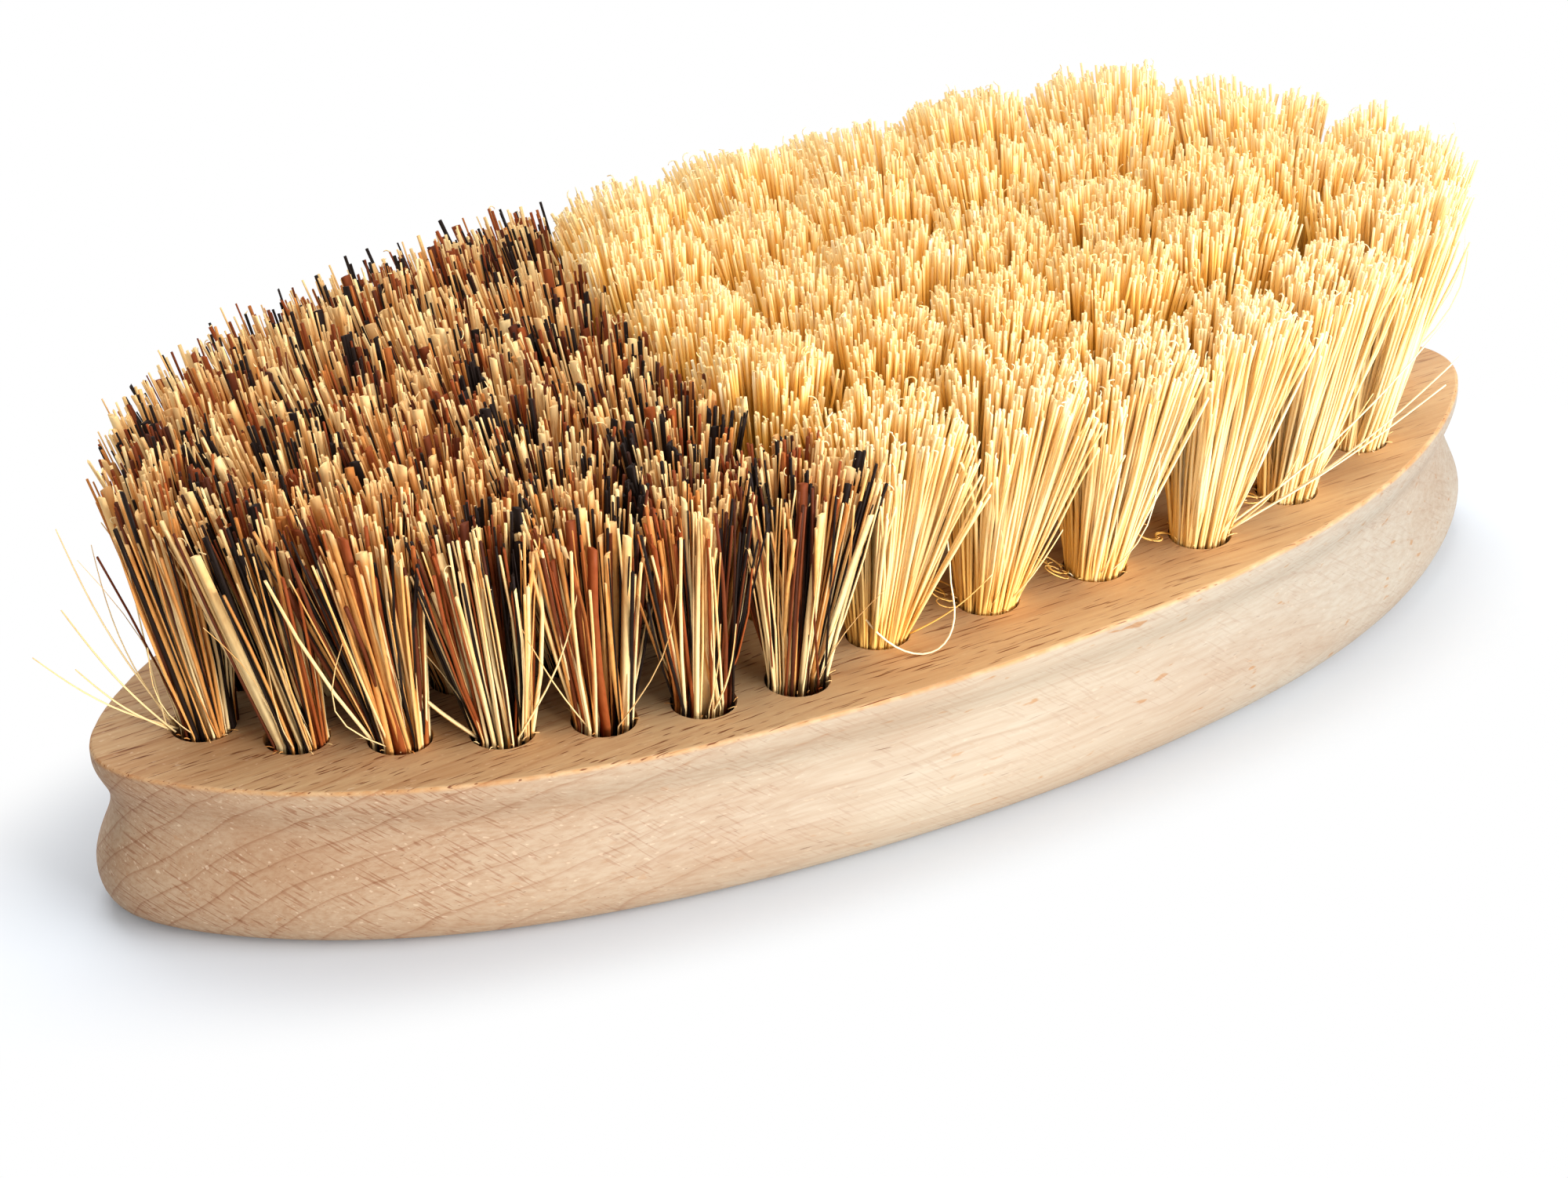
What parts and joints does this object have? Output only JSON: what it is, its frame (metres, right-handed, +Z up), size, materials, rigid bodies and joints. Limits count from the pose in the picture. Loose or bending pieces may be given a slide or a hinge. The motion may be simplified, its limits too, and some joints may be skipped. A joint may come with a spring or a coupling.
{
  "type": "vegetable brush",
  "caption": "Hand-held oval vegetable brush: waisted beech block with fibre tufts in blind holes, a stiff dark mix in one half and soft pale fibre in the other.",
  "frame": {"origin": "middle of the block's flat underside, on which the brush lies with its bristles up", "axes": "+X along the block's length, towards the pale tampico end; +Y across it; +Z up, from the underside to the bristle tips"},
  "size_m": [0.136, 0.0622, 0.0398],
  "materials": {
    "beech_wood": "satin",
    "union_fibre": "matte",
    "tampico_fibre": "matte"
  },
  "bodies": {
    "root": {"block": "beech_wood", "union_tuft_01": "union_fibre", "union_tuft_02": "union_fibre", "union_tuft_03": "union_fibre", "union_tuft_04": "union_fibre", "union_tuft_05": "union_fibre", "union_tuft_06": "union_fibre", "union_tuft_07": "union_fibre", "union_tuft_08": "union_fibre", "union_tuft_09": "union_fibre", "union_tuft_10": "union_fibre", "union_tuft_11": "union_fibre", "union_tuft_12": "union_fibre", "union_tuft_13": "union_fibre", "union_tuft_14": "union_fibre", "union_tuft_15": "union_fibre", "union_tuft_16": "union_fibre", "union_tuft_17": "union_fibre", "union_tuft_18": "union_fibre", "union_tuft_19": "union_fibre", "union_tuft_20": "union_fibre", "union_tuft_21": "union_fibre", "union_tuft_22": "union_fibre", "tampico_tuft_01": "tampico_fibre", "tampico_tuft_02": "tampico_fibre", "tampico_tuft_03": "tampico_fibre", "tampico_tuft_04": "tampico_fibre", "tampico_tuft_05": "tampico_fibre", "tampico_tuft_06": "tampico_fibre", "tampico_tuft_07": "tampico_fibre", "tampico_tuft_08": "tampico_fibre", "tampico_tuft_09": "tampico_fibre", "tampico_tuft_10": "tampico_fibre", "tampico_tuft_11": "tampico_fibre", "tampico_tuft_12": "tampico_fibre", "tampico_tuft_13": "tampico_fibre", "tampico_tuft_14": "tampico_fibre", "tampico_tuft_15": "tampico_fibre", "tampico_tuft_16": "tampico_fibre", "tampico_tuft_17": "tampico_fibre", "tampico_tuft_18": "tampico_fibre", "tampico_tuft_19": "tampico_fibre", "tampico_tuft_20": "tampico_fibre", "tampico_tuft_21": "tampico_fibre", "tampico_tuft_22": "tampico_fibre", "tampico_tuft_23": "tampico_fibre", "tampico_tuft_24": "tampico_fibre", "tampico_tuft_25": "tampico_fibre", "tampico_tuft_26": "tampico_fibre", "tampico_tuft_27": "tampico_fibre", "tampico_tuft_28": "tampico_fibre", "tampico_tuft_29": "tampico_fibre", "tampico_tuft_30": "tampico_fibre"}
  },
  "joints": []
}
